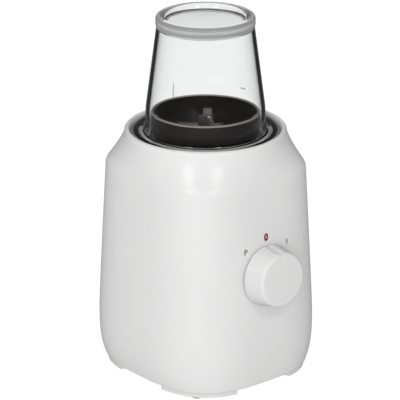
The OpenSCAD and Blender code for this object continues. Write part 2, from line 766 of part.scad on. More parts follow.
// One bent arm of the upper blade: a flat root, a slope and an upright tip.
module bent_arm() {
    h = cup_top - blade_z - blade_t - blade_drop;
    rotate([90, 0, 0]) linear_extrude(9.6, center = true) polygon([
        [0, 0], [8, 0], [9.6, 1], [10.4, h], [9, h], [8.3, 2], [7.4, blade_t], [0, blade_t]
    ]);
}

module upper_blade() {
    color("silver") rotate(cutter_turn + 180) translate([0, 0, blade_z + blade_t]) difference() {
        intersection() {
            for (m = [0, 180]) rotate(m) bent_arm();
            union() {
                translate([-20, -5, -1]) cube([40, 10, 4]);
                for (m = [0, 180]) rotate(m) translate([0, 0, -1]) rotate([90, 0, 90]) linear_extrude(20)
                    polygon([[-5, 0], [5, 0], [3, 15], [-3, 15]]);
            }
        }
        translate([0, 0, -1]) cylinder(r = cutter_shaft_r, h = 10);
    }
}

module blade_washer() {
    color("silver") translate([0, 0, blade_z + 2 * blade_t]) tube(6, cutter_shaft_r, 0.8);
}

module blade_nut() {
    color("silver") translate([0, 0, nut_z]) difference() {
        union() {
            cylinder(r = 5.4, h = 3.4, $fn = 6);
            translate([0, 0, 3]) cylinder(r = 4.2, h = 2.2);
        }
        translate([0, 0, -1]) cylinder(r = cutter_shaft_r, h = 5);
    }
}

module driven_coupling() {
    color("black") translate([0, 0, coupling_z]) linear_extrude(9) difference() {
        union() {
            circle(r = 7);
            for (k = [0 : 5]) rotate(60 * k + 30) translate([5, -1.5]) square([7, 3]);
        }
        circle(r = cutter_shaft_r);
    }
}

module retaining_clip() {
    color("silver") translate([0, 0, coupling_z + 9.1]) linear_extrude(0.9) difference() {
        circle(r = 5.4);
        circle(r = cutter_shaft_r);
        translate([0, -1.5]) square([8, 3]);
    }
}

housing();
jar_seat();
seat_screws();
base_plate();
rubber_feet();
base_screws();
cord_inlet();
knob();
switch_shaft();
switch_body();
switch_nut();
interlock_pin();
interlock_spring();
interlock_switch();
drive_coupling();
shaft_seal();
motor_shaft();
armature_core();
armature_winding();
commutator();
cooling_fan();
stator_core();
field_coils();
stator_screws();
upper_bracket();
lower_bracket();
upper_bearing();
lower_bearing();
brush_holders();
carbon_brushes();
brush_springs();
motor_dampers();
motor_screws();
thermal_cutout();
suppressor_capacitor();
terminal_block();
cutter_base();
cutter_bush();
cutter_seal();
jar_gasket();
grinding_jar();
cutter_shaft();
lower_blade();
upper_blade();
blade_washer();
blade_nut();
driven_coupling();
retaining_clip();
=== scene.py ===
"""Countertop blender base with a dry-grinding mill on it: the visible pieces and their finishes.

Laid out as an add-on and run as a script. Every size is in metres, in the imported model's own frame:
Z = 0 is the worktop, the motor's axis is the Z axis, and the knob looks along -Y.
"""

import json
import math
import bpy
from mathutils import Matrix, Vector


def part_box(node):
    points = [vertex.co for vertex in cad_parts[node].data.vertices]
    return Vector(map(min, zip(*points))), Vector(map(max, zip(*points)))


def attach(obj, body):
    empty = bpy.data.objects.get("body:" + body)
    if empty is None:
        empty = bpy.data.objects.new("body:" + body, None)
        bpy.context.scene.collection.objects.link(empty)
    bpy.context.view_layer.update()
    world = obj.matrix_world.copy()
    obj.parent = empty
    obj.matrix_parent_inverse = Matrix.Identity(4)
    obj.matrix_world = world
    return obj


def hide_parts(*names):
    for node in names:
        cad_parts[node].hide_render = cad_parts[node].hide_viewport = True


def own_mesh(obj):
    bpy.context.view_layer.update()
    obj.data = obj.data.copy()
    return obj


bl_info = {
    "name": "Countertop blender with dry mill",
    "version": (1, 0, 0),
    "blender": (4, 5, 0),
    "location": "3D View > Sidebar > Mill blender",
    "description": "Builds the visible pieces of a countertop blender base with a dry mill",
    "category": "Object",
}

import bmesh
import bpy
from bpy.props import FloatProperty, FloatVectorProperty, IntProperty, PointerProperty
from mathutils import Matrix, Vector

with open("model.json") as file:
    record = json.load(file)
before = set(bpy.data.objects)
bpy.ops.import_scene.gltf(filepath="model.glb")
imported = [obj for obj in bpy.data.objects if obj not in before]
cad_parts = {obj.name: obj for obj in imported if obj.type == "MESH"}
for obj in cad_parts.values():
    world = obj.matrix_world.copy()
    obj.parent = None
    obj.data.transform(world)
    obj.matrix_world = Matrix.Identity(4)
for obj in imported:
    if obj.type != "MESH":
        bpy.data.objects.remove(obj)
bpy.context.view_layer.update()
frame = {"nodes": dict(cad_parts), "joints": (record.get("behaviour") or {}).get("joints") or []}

MM = 0.001
TURN = math.tau
MERGE = 0.002 * MM  # points closer than this are one point


def low(node):
    """Lowest corner of a CAD node's box."""
    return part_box(node)[0]


def high(node):
    """Highest corner of a CAD node's box."""
    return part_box(node)[1]


def wide(node):
    """Half the width of a CAD node across X."""
    return (high(node).x - low(node).x) / 2


def joint(name):
    """A joint of the model."""
    return next(j for j in frame["joints"] if j["name"] == name)


# ---- Sizes and colours that a user would change ----


def length(name, default, text):
    """A length in metres, as a property."""
    return FloatProperty(
        name=name, description=text, default=default, min=0.0, unit="LENGTH", precision=5
    )


def colour(name, default, text):
    """A colour, as a property."""
    return FloatVectorProperty(
        name=name, description=text, default=(*default, 1.0), size=4, min=0.0, max=1.0, subtype="COLOR"
    )


class MillSizes(bpy.types.PropertyGroup):
    """Sizes of the visible pieces that the CAD model leaves open."""

    around: IntProperty(
        name="Points round", description="Points round the body's skin", default=192, min=48, max=384
    )
    crease: length("Shoulder crease", 2.0 * MM, "How widely the shoulder's edge is softened")
    wall: length("Shell wall", 2.6 * MM, "Thickness of the body's wall")
    soft_edge: length("Soft edge", 0.3 * MM, "Rounding of a moulded edge")
    mark_height: length("Dial mark height", 5.2 * MM, "Height of the letters and numbers of the dial")
    mark_radius: length("Dial mark radius", 31.2 * MM, "Distance of the dial marks from the knob's axis")
    mark_lift: length("Dial mark thickness", 0.05 * MM, "Thickness of the printed dial marks")


class MillColours(bpy.types.PropertyGroup):
    """Colours of the finishes."""

    body: colour("Body", (0.80, 0.797, 0.795), "Glossy moulded plastic of the body and the knob")
    plate: colour("Base plate", (0.74, 0.735, 0.73), "Moulded plastic of the base plate")
    seat: colour("Well", (0.17, 0.17, 0.172), "Satin plastic of the seat in the neck")
    bowl: colour("Cutter bowl", (0.006, 0.0045, 0.004), "Polished plastic of the cutter base")
    # The bowl rim colour is a painted highlight: the rim is made lighter where it catches the light.
    bowl_rim_highlight: colour("Bowl rim highlight", (0.24, 0.225, 0.21), "The bowl's rim, painted lighter as a highlight")
    jar: colour("Jar", (0.985, 0.99, 0.99), "Clear plastic of the jar")
    jar_edge_shade: colour("Painted jar edge shade", (0.004, 0.004, 0.004), "Painted shade of the clear wall where it is seen edge on")
    red: colour("Off mark", (0.30, 0.006, 0.02), "Print of the dial's zero")
    grey: colour("Other marks", (0.10, 0.10, 0.10), "Print of the dial's other marks, and painted shade of the jar's ribs")
    steel: colour("Blades", (0.68, 0.65, 0.63), "Stainless steel of the cutter")
    copper: colour("Windings", (0.42, 0.17, 0.07), "Enamelled copper wire")


def sizes():
    """The sizes set for this scene."""
    return bpy.context.scene.mill_sizes


def colours():
    """The colours set for this scene."""
    return bpy.context.scene.mill_colours


# ---- Modelling by hand, in code ----


def deselect():
    """Leaves nothing selected."""
    if bpy.context.object and bpy.context.object.mode != "OBJECT":
        bpy.ops.object.mode_set(mode="OBJECT")
    bpy.ops.object.select_all(action="DESELECT")


def alone(piece):
    """Makes a piece active, with nothing else selected."""
    deselect()
    piece.select_set(True)
    bpy.context.view_layer.objects.active = piece


def begin(name, add, **where):
    """Adds a primitive at its size and place, alone in the selection."""
    deselect()
    add(**where)
    piece = bpy.context.object
    piece.name = name
    piece.data.name = name
    return piece


def edit(piece, kind="VERT"):
    """Opens a piece in edit mode with nothing selected."""
    alone(piece)
    bpy.ops.object.mode_set(mode="EDIT")
    bpy.ops.mesh.select_mode(type=kind)
    bpy.ops.mesh.select_all(action="DESELECT")


def edit_all(piece, kind="VERT"):
    """Opens a piece in edit mode with all of it selected."""
    edit(piece, kind)
    bpy.ops.mesh.select_all(action="SELECT")


def done():
    """Closes edit mode."""
    bpy.ops.object.mode_set(mode="OBJECT")


def pick(piece, kind, wanted):
    """Selects the vertices, edges or faces that the wanted test accepts, and no others."""
    bpy.ops.mesh.select_mode(type=kind)
    bpy.ops.mesh.select_all(action="DESELECT")
    work = bmesh.from_edit_mesh(piece.data)
    for part in {"VERT": work.verts, "EDGE": work.edges, "FACE": work.faces}[kind]:
        if wanted(part):
            part.select_set(True)
    bmesh.update_edit_mesh(piece.data)


def middle(part):
    """Middle of an edge or a face."""
    return sum((v.co for v in part.verts), Vector()) / len(part.verts)


def outward(point):
    """Direction from the Z axis out to a point."""
    return Vector((point.x, point.y, 0)).normalized()


def off_axis(point):
    """Distance of a point from the Z axis, in millimetres."""
    return math.hypot(point.x, point.y) / MM


def clean():
    """Merges doubles, drops loose edges and turns every face outwards, in edit mode."""
    bpy.ops.mesh.select_all(action="SELECT")
    bpy.ops.mesh.remove_doubles(threshold=MERGE)
    bpy.ops.mesh.delete_loose(use_verts=True, use_edges=True, use_faces=False)
    bpy.ops.mesh.select_all(action="SELECT")
    bpy.ops.mesh.normals_make_consistent(inside=False)


def finish_with(piece, kind, **settings):
    """Adds a modifier, sets it and applies it."""
    alone(piece)
    modifier = piece.modifiers.new(kind.title(), kind)
    for key, value in settings.items():
        setattr(modifier, key, value)
    bpy.ops.object.modifier_apply(modifier=modifier.name)


def soften(piece, width, segments=3, angle=35):
    """Rounds a piece's sharp edges."""
    finish_with(
        piece,
        "BEVEL",
        width=width,
        segments=segments,
        limit_method="ANGLE",
        angle_limit=math.radians(angle),
        harden_normals=False,
    )


def smooth(piece, angle=32):
    """Shades a piece smooth, apart from its real edges."""
    alone(piece)
    bpy.ops.object.shade_smooth_by_angle(angle=math.radians(angle))


def cut(piece, cutter):
    """Cuts one piece with another, which is then gone."""
    finish_with(piece, "BOOLEAN", operation="DIFFERENCE", object=cutter, solver="EXACT")
    bpy.data.objects.remove(cutter)


def join(piece, *others):
    """Joins other pieces to the first."""
    deselect()
    for other in others:
        other.select_set(True)
    piece.select_set(True)
    bpy.context.view_layer.objects.active = piece
    bpy.ops.object.join()


def twin(piece, name):
    """A copy of a piece with its own mesh."""
    alone(piece)
    bpy.ops.object.duplicate()
    copy = bpy.context.object
    copy.name = name
    copy.data.name = name
    return copy


def turned_about(piece, angle):
    """Turns a piece's mesh about the Z axis, the positive way."""
    piece.rotation_euler = (0, 0, angle)
    settle(piece)


def settle(piece):
    """Puts a piece's place into its mesh, so that its object sits at the origin."""
    alone(piece)
    bpy.ops.object.transform_apply(location=True, rotation=True, scale=True)


def settle_at(piece, matrix):
    """Moves a piece's mesh by a matrix."""
    piece.matrix_world = matrix
    settle(piece)


def spun(name, profile, steps, angle=TURN, soft=0.0, segments=3):
    """A piece turned about the Z axis, all the way or through an angle.

    A plane is merged to a point, which is drawn out along the profile, given as (radius, height) in
    millimetres. The outline is closed, its corners are softened, and it is spun.
    """
    points = [(r * MM, z * MM) for r, z in profile]
    piece = begin(name, bpy.ops.mesh.primitive_plane_add, size=1 * MM)
    edit_all(piece)
    bpy.ops.mesh.merge(type="CENTER")
    bpy.ops.transform.translate(value=(points[0][0], 0, points[0][1]))
    for (r, z), (r2, z2) in zip(points, points[1:]):
        bpy.ops.mesh.extrude_vertices_move(TRANSFORM_OT_translate={"value": (r2 - r, 0, z2 - z)})
    ends = [Vector((r, 0, z)) for r, z in (points[0], points[-1])]
    pick(piece, "VERT", lambda v: any((v.co - e).length < 1e-7 for e in ends))
    bpy.ops.mesh.edge_face_add()
    if soft:
        pick(piece, "VERT", lambda v: v.co.x > 0.5 * MM)
        bpy.ops.mesh.bevel(
            offset=soft, offset_type="OFFSET", segments=segments, affect="VERTICES", clamp_overlap=True
        )
    bpy.ops.mesh.select_all(action="SELECT")
    bpy.ops.mesh.spin(steps=steps, angle=angle, center=(0, 0, 0), axis=(0, 0, 1))
    if angle < TURN - 0.01:
        bpy.ops.mesh.remove_doubles(threshold=MERGE)
        pick(piece, "EDGE", lambda e: e.is_boundary)
        bpy.ops.mesh.edge_face_add()
    clean()
    done()
    return piece


def arc(cr, cz, r, start, end, steps):
    """Points of an arc of a profile, angles in degrees."""
    return [
        (
            cr + r * math.cos(math.radians(start + (end - start) * i / steps)),
            cz + r * math.sin(math.radians(start + (end - start) * i / steps)),
        )
        for i in range(steps + 1)
    ]


# ---- The body's outline, in millimetres ----

FOOT_Z = low("housing").z / MM
WIDEST_Z = 43.0
SHOULDER_Z = 173.5
SCOOP_TOP = 199.0  # where the hollow scoop meets the neck's rim
RIM_TOP = high("housing").z / MM
HALF_W = wide("housing") / MM
HALF_D = 79.0
NECK_OUT = 65.2
NECK_IN = 60.0
SIDE_TUCK = 6  # how far the foot draws in at the sides
FRONT_TUCK = 3.5  # and at the front and the back
TAPER = 7  # how far the shoulder is in from the widest level


def rise(z):
    """Share of the way from the widest level up to the shoulder."""
    return max(0.0, min(1.0, (z - WIDEST_Z) / (SHOULDER_Z - WIDEST_Z)))


def tuck(z):
    """Share of the foot's drawing in that is reached at a level."""
    return ((WIDEST_Z - z) / (WIDEST_Z - FOOT_Z)) ** 3 if z < WIDEST_Z else 0.0


def half_depth(z):
    """Half the body's depth at a level."""
    return HALF_D - FRONT_TUCK * tuck(z) - TAPER * rise(z)


def side_radius(angle, z):
    """Distance of the body's side from its axis."""
    w = HALF_W - SIDE_TUCK * tuck(z) - TAPER * rise(z)
    n = 3.0 + 0.2 * rise(z) ** 0.45  # 2 is an ellipse, and more is squarer
    return ((abs(math.cos(angle)) / w) ** n + (abs(math.sin(angle)) / half_depth(z)) ** n) ** (-1 / n)


def skin_radius(angle, z, crease):
    """Distance of the body's skin from its axis, side and scoop together, with a softened crease."""
    side = side_radius(angle, min(z, SHOULDER_Z))
    if z < SHOULDER_Z - 6:
        return side
    u = min(1.0, (z - SHOULDER_Z) / (SCOOP_TOP - SHOULDER_Z))
    scoop = NECK_OUT + (side_radius(angle, SHOULDER_Z) - NECK_OUT) * (1 - u) ** 1.3
    k = max(crease, 1e-6)
    share = max(k - abs(side - scoop), 0) / k
    return min(side, scoop) - share * share * k / 4


def lean_at(out):
    """Matrix of the leaning front face at the knob's axis, so much in front of the skin."""
    hinge = joint("knob_turn")
    axis = Vector(hinge["axis"]).normalized()
    origin = Vector(hinge["pos_m"])
    side = Vector((1, 0, 0))
    up = axis.cross(side)
    turn = Matrix((side, up, axis)).transposed().to_4x4()
    return Matrix.Translation(origin + axis * out) @ turn


# ---- Finishes ----


def link(tree, a, out, b, socket):
    """Joins an output of one node to an input of another."""
    tree.links.new(a.outputs[out], b.inputs[socket])


def new_group(name, inputs, outputs):
    """A shader node group with named inputs and outputs, and its two end nodes."""
    tree = bpy.data.node_groups.new(name, "ShaderNodeTree")
    for label, kind, value in inputs:
        socket = tree.interface.new_socket(label, in_out="INPUT", socket_type=kind)
        socket.default_value = value
    for label, kind in outputs:
        tree.interface.new_socket(label, in_out="OUTPUT", socket_type=kind)
    return tree, tree.nodes.new("NodeGroupInput"), tree.nodes.new("NodeGroupOutput")


def object_noise(tree, scale_from=None, scale=None, detail=2.0, stretch=None):
    """A noise on object coordinates."""
    place = tree.nodes.new("ShaderNodeTexCoord")
    noise = tree.nodes.new("ShaderNodeTexNoise")
    noise.inputs["Detail"].default_value = detail
    if stretch:
        mapping = tree.nodes.new("ShaderNodeMapping")
        mapping.inputs["Scale"].default_value = stretch
        link(tree, place, "Object", mapping, "Vector")
        link(tree, mapping, "Vector", noise, "Vector")
    else:
        link(tree, place, "Object", noise, "Vector")
    if scale_from:
        tree.links.new(scale_from, noise.inputs["Scale"])
    else:
        noise.inputs["Scale"].default_value = scale
    return noise


def build_groups():
    """The effects that more than one finish uses."""
    f, c = "NodeSocketFloat", "NodeSocketColor"

    tree, start, end = new_group(
        "Moulded grain",
        [("Fine scale", f, 2600.0), ("Broad scale", f, 24.0), ("Broad share", f, 0.5)],
        [("Height", f)],
    )
    fine = object_noise(tree, start.outputs["Fine scale"], detail=2)
    broad = object_noise(tree, start.outputs["Broad scale"], detail=1)
    mix = tree.nodes.new("ShaderNodeMix")
    link(tree, start, "Broad share", mix, 0)
    link(tree, fine, "Fac", mix, 2)
    link(tree, broad, "Fac", mix, 3)
    link(tree, mix, 0, end, "Height")

    tree, start, end = new_group(
        "Tone drift",
        [("Color", c, (0.8, 0.8, 0.8, 1)), ("Amount", f, 0.03), ("Scale", f, 18.0)],
        [("Color", c)],
    )
    noise = object_noise(tree, start.outputs["Scale"], detail=3)
    span = tree.nodes.new("ShaderNodeMapRange")
    less = tree.nodes.new("ShaderNodeMath")
    less.operation = "SUBTRACT"
    less.inputs[0].default_value = 1.0
    more = tree.nodes.new("ShaderNodeMath")
    more.inputs[0].default_value = 1.0
    scale = tree.nodes.new("ShaderNodeVectorMath")
    scale.operation = "SCALE"
    tree.links.new(start.outputs["Amount"], less.inputs[1])
    tree.links.new(start.outputs["Amount"], more.inputs[1])
    link(tree, noise, "Fac", span, "Value")
    span.inputs["From Min"].default_value = 0.25
    span.inputs["From Max"].default_value = 0.75
    link(tree, less, 0, span, "To Min")
    link(tree, more, 0, span, "To Max")
    link(tree, start, "Color", scale, 0)
    link(tree, span, "Result", scale, "Scale")
    link(tree, scale, 0, end, "Color")

    tree, start, end = new_group(
        "Polish drift",
        [("Roughness", f, 0.3), ("Amount", f, 0.05), ("Scale", f, 40.0)],
        [("Roughness", f)],
    )
    noise = object_noise(tree, start.outputs["Scale"], detail=4)
    centre = tree.nodes.new("ShaderNodeMath")
    centre.operation = "SUBTRACT"
    centre.inputs[1].default_value = 0.5
    times = tree.nodes.new("ShaderNodeMath")
    times.operation = "MULTIPLY_ADD"
    times.use_clamp = True
    link(tree, noise, "Fac", centre, 0)
    link(tree, centre, 0, times, 0)
    link(tree, start, "Amount", times, 1)
    link(tree, start, "Roughness", times, 2)
    link(tree, times, 0, end, "Roughness")

    tree, start, end = new_group(
        "Brushed lines", [("Scale", f, 400.0), ("Fine share", f, 0.4)], [("Height", f), ("Mask", f)]
    )
    lines = object_noise(tree, start.outputs["Scale"], detail=3, stretch=(1.0, 12.0, 1.0))
    specks = object_noise(tree, scale=3000.0, detail=2)
    mix = tree.nodes.new("ShaderNodeMix")
    link(tree, start, "Fine share", mix, 0)
    link(tree, lines, "Fac", mix, 2)
    link(tree, specks, "Fac", mix, 3)
    link(tree, mix, 0, end, "Height")
    ramp = tree.nodes.new("ShaderNodeMapRange")
    ramp.inputs["From Min"].default_value = 0.35
    ramp.inputs["From Max"].default_value = 0.65
    link(tree, lines, "Fac", ramp, "Value")
    link(tree, ramp, "Result", end, "Mask")

    tree, start, end = new_group(
        "Stacked layers",
        [("Lines per metre", f, 1000.0), ("Wander", f, 0.4)],
        [("Height", f), ("Mask", f)],
    )
    place = tree.nodes.new("ShaderNodeTexCoord")
    wave = tree.nodes.new("ShaderNodeTexWave")
    wave.wave_type = "BANDS"
    wave.bands_direction = "Z"
    wave.inputs["Detail"].default_value = 1.0
    per = tree.nodes.new("ShaderNodeMath")
    per.operation = "MULTIPLY"
    per.inputs[1].default_value = 0.314
    link(tree, place, "Object", wave, "Vector")
    link(tree, start, "Lines per metre", per, 0)
    link(tree, per, 0, wave, "Scale")
    link(tree, start, "Wander", wave, "Distortion")
    link(tree, wave, "Fac", end, "Height")
    link(tree, wave, "Fac", end, "Mask")


def place_group(tree, name, **values):
    """A group node with its own values."""
    node = tree.nodes.new("ShaderNodeGroup")
    node.node_tree = bpy.data.node_groups[name]
    for key, value in values.items():
        node.inputs[key.replace("_", " ")].default_value = value
    return node


def new_finish(name):
    """An empty node material with its shader."""
    material = bpy.data.materials.new(name)
    material.use_nodes = True
    tree = material.node_tree
    return material, tree, tree.nodes["Principled BSDF"]


def bump(tree, shader, source, out, distance, strength):
    """Feeds a height into the shader's normal."""
    node = tree.nodes.new("ShaderNodeBump")
    node.inputs["Distance"].default_value = distance
    node.inputs["Strength"].default_value = strength
    link(tree, source, out, node, "Height")
    link(tree, node, "Normal", shader, "Normal")


def moulded(
    name, tone, rough, grain=0.02 * MM, fine=2600.0, broad=24.0, share=0.5, drift=0.02, polish=0.06
):
    """A moulded plastic or rubber: a slight drift of tone and polish, and a fine moulded grain."""
    material, tree, shader = new_finish(name)
    tint = place_group(tree, "Tone drift", Color=tuple(tone), Amount=drift, Scale=22.0)
    sheen = place_group(tree, "Polish drift", Roughness=rough, Amount=polish, Scale=60.0)
    height = place_group(tree, "Moulded grain", Fine_scale=fine, Broad_scale=broad, Broad_share=share)
    link(tree, tint, "Color", shader, "Base Color")
    link(tree, sheen, "Roughness", shader, "Roughness")
    bump(tree, shader, height, "Height", grain, 1.0)
    shader.inputs["IOR"].default_value = 1.5
    return material


def metal(name, tone, rough, lines=400.0, depth=0.012 * MM, drift=0.06, polish=0.12):
    """A bare metal with the lines that working it leaves."""
    material, tree, shader = new_finish(name)
    tint = place_group(tree, "Tone drift", Color=tuple(tone), Amount=drift, Scale=70.0)
    sheen = place_group(tree, "Polish drift", Roughness=rough, Amount=polish, Scale=160.0)
    height = place_group(tree, "Brushed lines", Scale=lines)
    link(tree, tint, "Color", shader, "Base Color")
    link(tree, sheen, "Roughness", shader, "Roughness")
    shader.inputs["Metallic"].default_value = 1.0
    bump(tree, shader, height, "Height", depth, 1.0)
    return material


def layered(name, tone, dark, rough, per_metre, metallic, depth=0.1 * MM, wander=0.3):
    """Wire or sheets laid in layers up the Z axis."""
    material, tree, shader = new_finish(name)
    layers = place_group(tree, "Stacked layers", Lines_per_metre=per_metre, Wander=wander)
    mix = tree.nodes.new("ShaderNodeMix")
    mix.data_type = "RGBA"
    mix.inputs[6].default_value = (*dark, 1)
    mix.inputs[7].default_value = (*tone, 1)
    sheen = place_group(tree, "Polish drift", Roughness=rough, Amount=0.15, Scale=200.0)
    link(tree, layers, "Mask", mix, 0)
    tree.links.new(mix.outputs[2], shader.inputs["Base Color"])
    link(tree, sheen, "Roughness", shader, "Roughness")
    shader.inputs["Metallic"].default_value = metallic
    bump(tree, shader, layers, "Height", depth, 0.8)
    return material


def clear(name, edge_shaded=False, through=1.0, rough=0.02, tone=1.0):
    """Clear plastic, faintly wavy from moulding; an edge-shaded one has painted shade where it is seen edge
    on, standing in for the dark lines that refraction draws there. A tone below one gives a darker copy,
    which is painted shade.
    """
    material, tree, shader = new_finish(name)
    body = tuple(part * tone for part in colours().jar)[:3] + (1,)
    # The edge colour is painted shade, for the dark lines of refraction along the wall's edges.
    edge = tuple(colours().jar_edge_shade)
    if edge_shaded:
        facing = tree.nodes.new("ShaderNodeLayerWeight")
        facing.inputs["Blend"].default_value = 0.5
        ramp = tree.nodes.new("ShaderNodeValToRGB")
        ramp.color_ramp.elements[0].position = 0.60
        ramp.color_ramp.elements[0].color = body
        ramp.color_ramp.elements[1].position = 0.67
        ramp.color_ramp.elements[1].color = edge
        for position, shade in ((0.82, edge), (0.88, body)):
            ramp.color_ramp.elements.new(position).color = shade
        link(tree, facing, "Facing", ramp, "Fac")
        link(tree, ramp, "Color", shader, "Base Color")
    else:
        tint = place_group(tree, "Tone drift", Color=body, Amount=0.01, Scale=30.0)
        link(tree, tint, "Color", shader, "Base Color")
    sheen = place_group(tree, "Polish drift", Roughness=rough, Amount=0.03, Scale=30.0)
    link(tree, sheen, "Roughness", shader, "Roughness")
    height = place_group(tree, "Moulded grain", Fine_scale=900.0, Broad_scale=60.0, Broad_share=0.9)
    bump(tree, shader, height, "Height", 0.01 * MM, 0.15)
    shader.inputs["Transmission Weight"].default_value = through
    shader.inputs["IOR"].default_value = 1.49
    path = tree.nodes.new("ShaderNodeLightPath")
    unshaded = tree.nodes.new("ShaderNodeBsdfTransparent")
    choose = tree.nodes.new("ShaderNodeMixShader")
    out = tree.nodes["Material Output"]
    link(tree, path, "Is Shadow Ray", choose, 0)
    link(tree, shader, 0, choose, 1)
    link(tree, unshaded, 0, choose, 2)
    link(tree, choose, 0, out, "Surface")
    return material


def mark_finish(name, tone):
    """A finish for marks, a little uneven: printed ink on the dial, and painted shade on the jar's ribs."""
    return moulded(name, tone, 0.45, grain=0.004 * MM, fine=4000.0, drift=0.08, polish=0.1)


def dress(piece, finish, body, slot, *nodes):
    """Gives a finished piece its finish and its body, and hides the CAD nodes that it stands for; the slot is
    not used.
    """
    piece.data.materials.clear()
    piece.data.materials.append(bpy.data.materials[finish])
    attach(piece, body)
    if nodes:
        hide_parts(*nodes)


def paint(piece, finish, wanted):
    """Gives the faces of a dressed piece that wanted(face, middle) accepts another finish."""
    piece.data.materials.append(bpy.data.materials[finish])
    edit(piece)
    pick(piece, "FACE", lambda f: wanted(f, middle(f)))
    bpy.context.object.active_material_index = len(piece.data.materials) - 1
    bpy.ops.object.material_slot_assign()
    done()


CAD_FINISHES = {
    "Body plastic": ["housing", "knob"],
    "Plate plastic": ["base_plate"],
    "Well plastic": ["jar_seat"],
    "Bowl plastic": ["cutter_base"],
    "Clear plastic": ["grinding_jar"],
    "Silicone": ["jar_gasket", "cutter_seal", "shaft_seal"],
    "Black rubber": ["rubber_feet", "cord_inlet", "motor_dampers"],
    "Blade steel": ["lower_blade", "upper_blade", "blade_washer", "blade_nut", "cutter_shaft"],
    "Plated steel": [
        "seat_screws", "base_screws", "stator_screws", "motor_screws", "motor_shaft", "upper_bearing",
        "lower_bearing", "retaining_clip", "switch_nut", "interlock_spring", "brush_springs",
        "thermal_cutout",
    ],
    "Laminated steel": ["armature_core", "stator_core"],
    "Copper wire": ["armature_winding", "field_coils"],
    "Brass": ["commutator", "brush_holders", "cutter_bush"],
    "Carbon": ["carbon_brushes"],
    "Cast alloy": ["upper_bracket", "lower_bracket"],
    "Black plastic": [
        "switch_body", "interlock_pin", "interlock_switch", "drive_coupling", "driven_coupling",
        "cooling_fan", "suppressor_capacitor",
    ],
    "Ivory plastic": ["switch_shaft", "terminal_block"],
}


class FinishesOperator(bpy.types.Operator):
    """Makes every finish and puts it on the CAD nodes"""

    bl_idname = "mill_blender.finishes"
    bl_label = "Finishes"

    def execute(self, context):
        build_groups()
        c = colours()
        moulded(
            "Body plastic", c.body, 0.30, grain=0.006 * MM, fine=1800, share=0.6, drift=0.008, polish=0.05
        )
        moulded("Plate plastic", c.plate, 0.42, grain=0.02 * MM, drift=0.012)
        moulded("Well plastic", c.seat, 0.33, grain=0.012 * MM, drift=0.05)
        moulded("Bowl plastic", c.bowl, 0.10, grain=0.004 * MM, fine=900, share=0.8, drift=0.08, polish=0.05)
        moulded("Silicone", (0.55, 0.55, 0.54, 1), 0.5, grain=0.02 * MM, drift=0.04)
        moulded("Black rubber", (0.03, 0.03, 0.03, 1), 0.62, grain=0.04 * MM, fine=1800, share=0.3, drift=0.1)
        moulded("Black plastic", (0.025, 0.025, 0.026, 1), 0.4, grain=0.02 * MM, drift=0.08)
        moulded("Ivory plastic", (0.72, 0.67, 0.55, 1), 0.4, grain=0.015 * MM, drift=0.03)
        moulded("Carbon", (0.02, 0.02, 0.02, 1), 0.55, grain=0.05 * MM, fine=4000, share=0.2, drift=0.2)
        metal("Blade steel", c.steel, 0.34, lines=500.0)
        metal("Plated steel", (0.55, 0.55, 0.56, 1), 0.3)
        metal("Brass", (0.6, 0.43, 0.19, 1), 0.3)
        metal("Cast alloy", (0.5, 0.5, 0.5, 1), 0.5, lines=1500.0, depth=0.05 * MM)
        layered("Laminated steel", (0.17, 0.17, 0.18), (0.04, 0.04, 0.045), 0.45, 1000.0, 0.6)
        layered("Copper wire", tuple(c.copper)[:3], (0.10, 0.03, 0.015), 0.3, 1600.0, 0.9, wander=1.2)
        mark_finish("Red print", c.red)
        mark_finish("Grey print and rib shade", c.grey)
        clear("Clear plastic")
        # A darker copy of the clear plastic: painted shade for the jar's closed end.
        clear("Clear disc with painted shade", tone=0.93)
        # The jar's wall, with painted shade where it is seen edge on.
        clear("Clear wall with edge shade", True)
        clear("Clear bead", through=0.66, rough=0.05)
        # A lighter copy of the bowl's plastic: a painted highlight for its rim.
        moulded("Bowl rim highlight", c.bowl_rim_highlight, 0.16, grain=0.004 * MM, fine=900, drift=0.08)
        for finish, nodes in CAD_FINISHES.items():
            for node in nodes:
                mesh = frame["nodes"][node].data
                mesh.materials.clear()
                mesh.materials.append(bpy.data.materials[finish])
        return {"FINISHED"}


# ---- Pieces ----


def ring_of(count, radius_at, z):
    """Points of a closed ring round the axis, in metres."""
    out = []
    for i in range(count):
        angle = TURN * i / count
        r = radius_at(angle)
        out.append(Vector((r * math.cos(angle), r * math.sin(angle), z)) * MM)
    return out


def lofted(name, rings):
    """A closed skin: a circle is extruded once for each ring, and each is put on its outline."""
    count = len(rings[0])
    piece = begin(
        name,
        bpy.ops.mesh.primitive_circle_add,
        vertices=count,
        radius=rings[0][0].x,
        fill_type="NOTHING",
        location=(0, 0, rings[0][0].z),
    )
    settle(piece)
    edit_all(piece)
    for k, ring in enumerate(rings):
        if k:
            rise_by = ring[0].z - rings[k - 1][0].z
            bpy.ops.mesh.extrude_edges_move(TRANSFORM_OT_translate={"value": (0, 0, rise_by)})
        work = bmesh.from_edit_mesh(piece.data)
        for v in [v for v in work.verts if v.select]:
            i = round(math.atan2(v.co.y, v.co.x) / TURN * count) % count
            v.co = ring[i]
        bmesh.update_edit_mesh(piece.data)
    pick(piece, "EDGE", lambda e: e.is_boundary)
    bpy.ops.mesh.bridge_edge_loops()
    clean()
    done()
    return piece


# Levels of the body's skin in millimetres, close together where it bends.
OUTER_LEVELS = (
    7, 9, 12, 15.5, 19.5, 24, 29, 34, 38.5, 43, 48, 56, 66, 78, 92, 106, 120, 133, 145, 154, 161, 166,
    169, 170.8, 171.8, 172.4, 172.9, 173.3, 173.7, 174.1, 174.6, 175.2, 176, 177, 178.2, 179.5, 181,
    182.6, 184.2, 185.8, 187.4, 189, 190.6, 192.2, 193.8, 195.2, 196.5, 197.7, 198.5,
)
INNER_LEVELS = (192, 189.4, 186.7, 184.1, 181.4, 178.8, 176.1, 169.5, 150, 120, 90, 65, 43, 30, 20, 13, 8)


